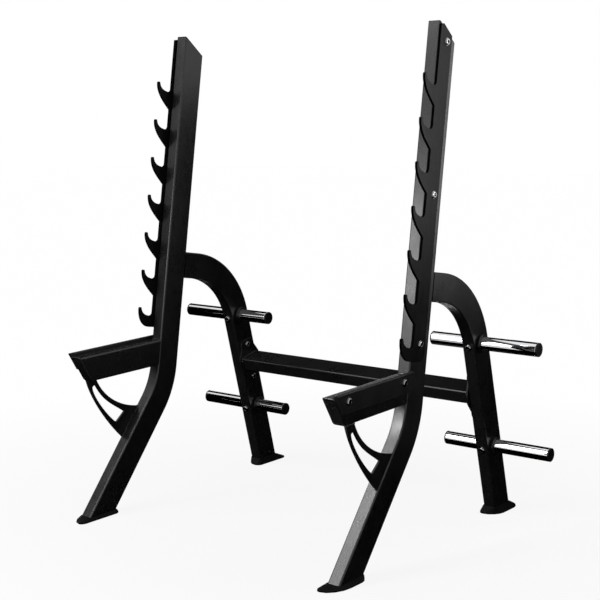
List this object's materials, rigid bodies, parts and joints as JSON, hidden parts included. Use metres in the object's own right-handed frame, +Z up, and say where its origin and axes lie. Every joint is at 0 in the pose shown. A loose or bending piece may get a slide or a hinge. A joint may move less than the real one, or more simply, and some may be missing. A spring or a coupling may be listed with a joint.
{
  "type": "squat rack",
  "caption": "Free-standing squat rack: leaning uprights with stepped bar hooks, low spotter arms on curved gussets, and arched rear legs with chrome plate horns, joined by a crossmember.",
  "frame": {"origin": "on the floor, under the middle of the rack's bounding box", "axes": "+Z up; +Y from the hooks towards the crossmember, the way the lifter walks in; +X to the lifter's right"},
  "size_m": [1.692, 1.2108, 1.82],
  "materials": {
    "powder_coated_steel": "semi-gloss black powder coat, slightly rough",
    "hook_plate_steel": "semi-gloss black coat",
    "black_plastic": "satin moulded black",
    "black_rubber": "matt moulded black",
    "polished_chrome": "mirror chrome plating",
    "bright_steel": "bright plated"
  },
  "bodies": {
    "root": {"arm_gusset_plate_left": "powder_coated_steel", "arm_gusset_plate_right": "powder_coated_steel", "crossmember_bolt_left_1": "bright_steel", "crossmember_bolt_left_2": "bright_steel", "crossmember_bolt_right_1": "bright_steel", "crossmember_bolt_right_2": "bright_steel", "crossmember_flange_left": "powder_coated_steel", "crossmember_flange_right": "powder_coated_steel", "crossmember_tube": "powder_coated_steel", "front_boot_left": "black_rubber", "front_boot_right": "black_rubber", "guard_bolt_left_1": "bright_steel", "guard_bolt_left_2": "bright_steel", "guard_bolt_right_1": "bright_steel", "guard_bolt_right_2": "bright_steel", "hook_plate_bolt_left_1": "bright_steel", "hook_plate_bolt_left_2": "bright_steel", "hook_plate_bolt_left_3": "bright_steel", "hook_plate_bolt_right_1": "bright_steel", "hook_plate_bolt_right_2": "bright_steel", "hook_plate_bolt_right_3": "bright_steel", "hook_plate_left": "hook_plate_steel", "hook_plate_right": "hook_plate_steel", "horn_cap_lower_inner_left": "black_plastic", "horn_cap_lower_inner_right": "black_plastic", "horn_cap_lower_outer_left": "black_plastic", "horn_cap_lower_outer_right": "black_plastic", "horn_cap_upper_inner_left": "black_plastic", "horn_cap_upper_inner_right": "black_plastic", "horn_cap_upper_outer_left": "black_plastic", "horn_cap_upper_outer_right": "black_plastic", "horn_lock_bolt_lower_left": "bright_steel", "horn_lock_bolt_lower_right": "bright_steel", "horn_lock_bolt_upper_left": "bright_steel", "horn_lock_bolt_upper_right": "bright_steel", "horn_sleeve_lower_left": "black_plastic", "horn_sleeve_lower_right": "black_plastic", "horn_sleeve_upper_left": "black_plastic", "horn_sleeve_upper_right": "black_plastic", "plate_horn_lower_left": "polished_chrome", "plate_horn_lower_right": "polished_chrome", "plate_horn_upper_left": "polished_chrome", "plate_horn_upper_right": "polished_chrome", "rear_boot_left": "black_rubber", "rear_boot_right": "black_rubber", "rear_leg_tube_left": "powder_coated_steel", "rear_leg_tube_right": "powder_coated_steel", "spotter_arm_end_plate_left": "powder_coated_steel", "spotter_arm_end_plate_right": "powder_coated_steel", "spotter_arm_guard_left": "black_plastic", "spotter_arm_guard_right": "black_plastic", "spotter_arm_tube_left": "powder_coated_steel", "spotter_arm_tube_right": "powder_coated_steel", "upright_top_cap_left": "powder_coated_steel", "upright_top_cap_right": "powder_coated_steel", "upright_tube_left": "powder_coated_steel", "upright_tube_right": "powder_coated_steel"}
  },
  "joints": []
}
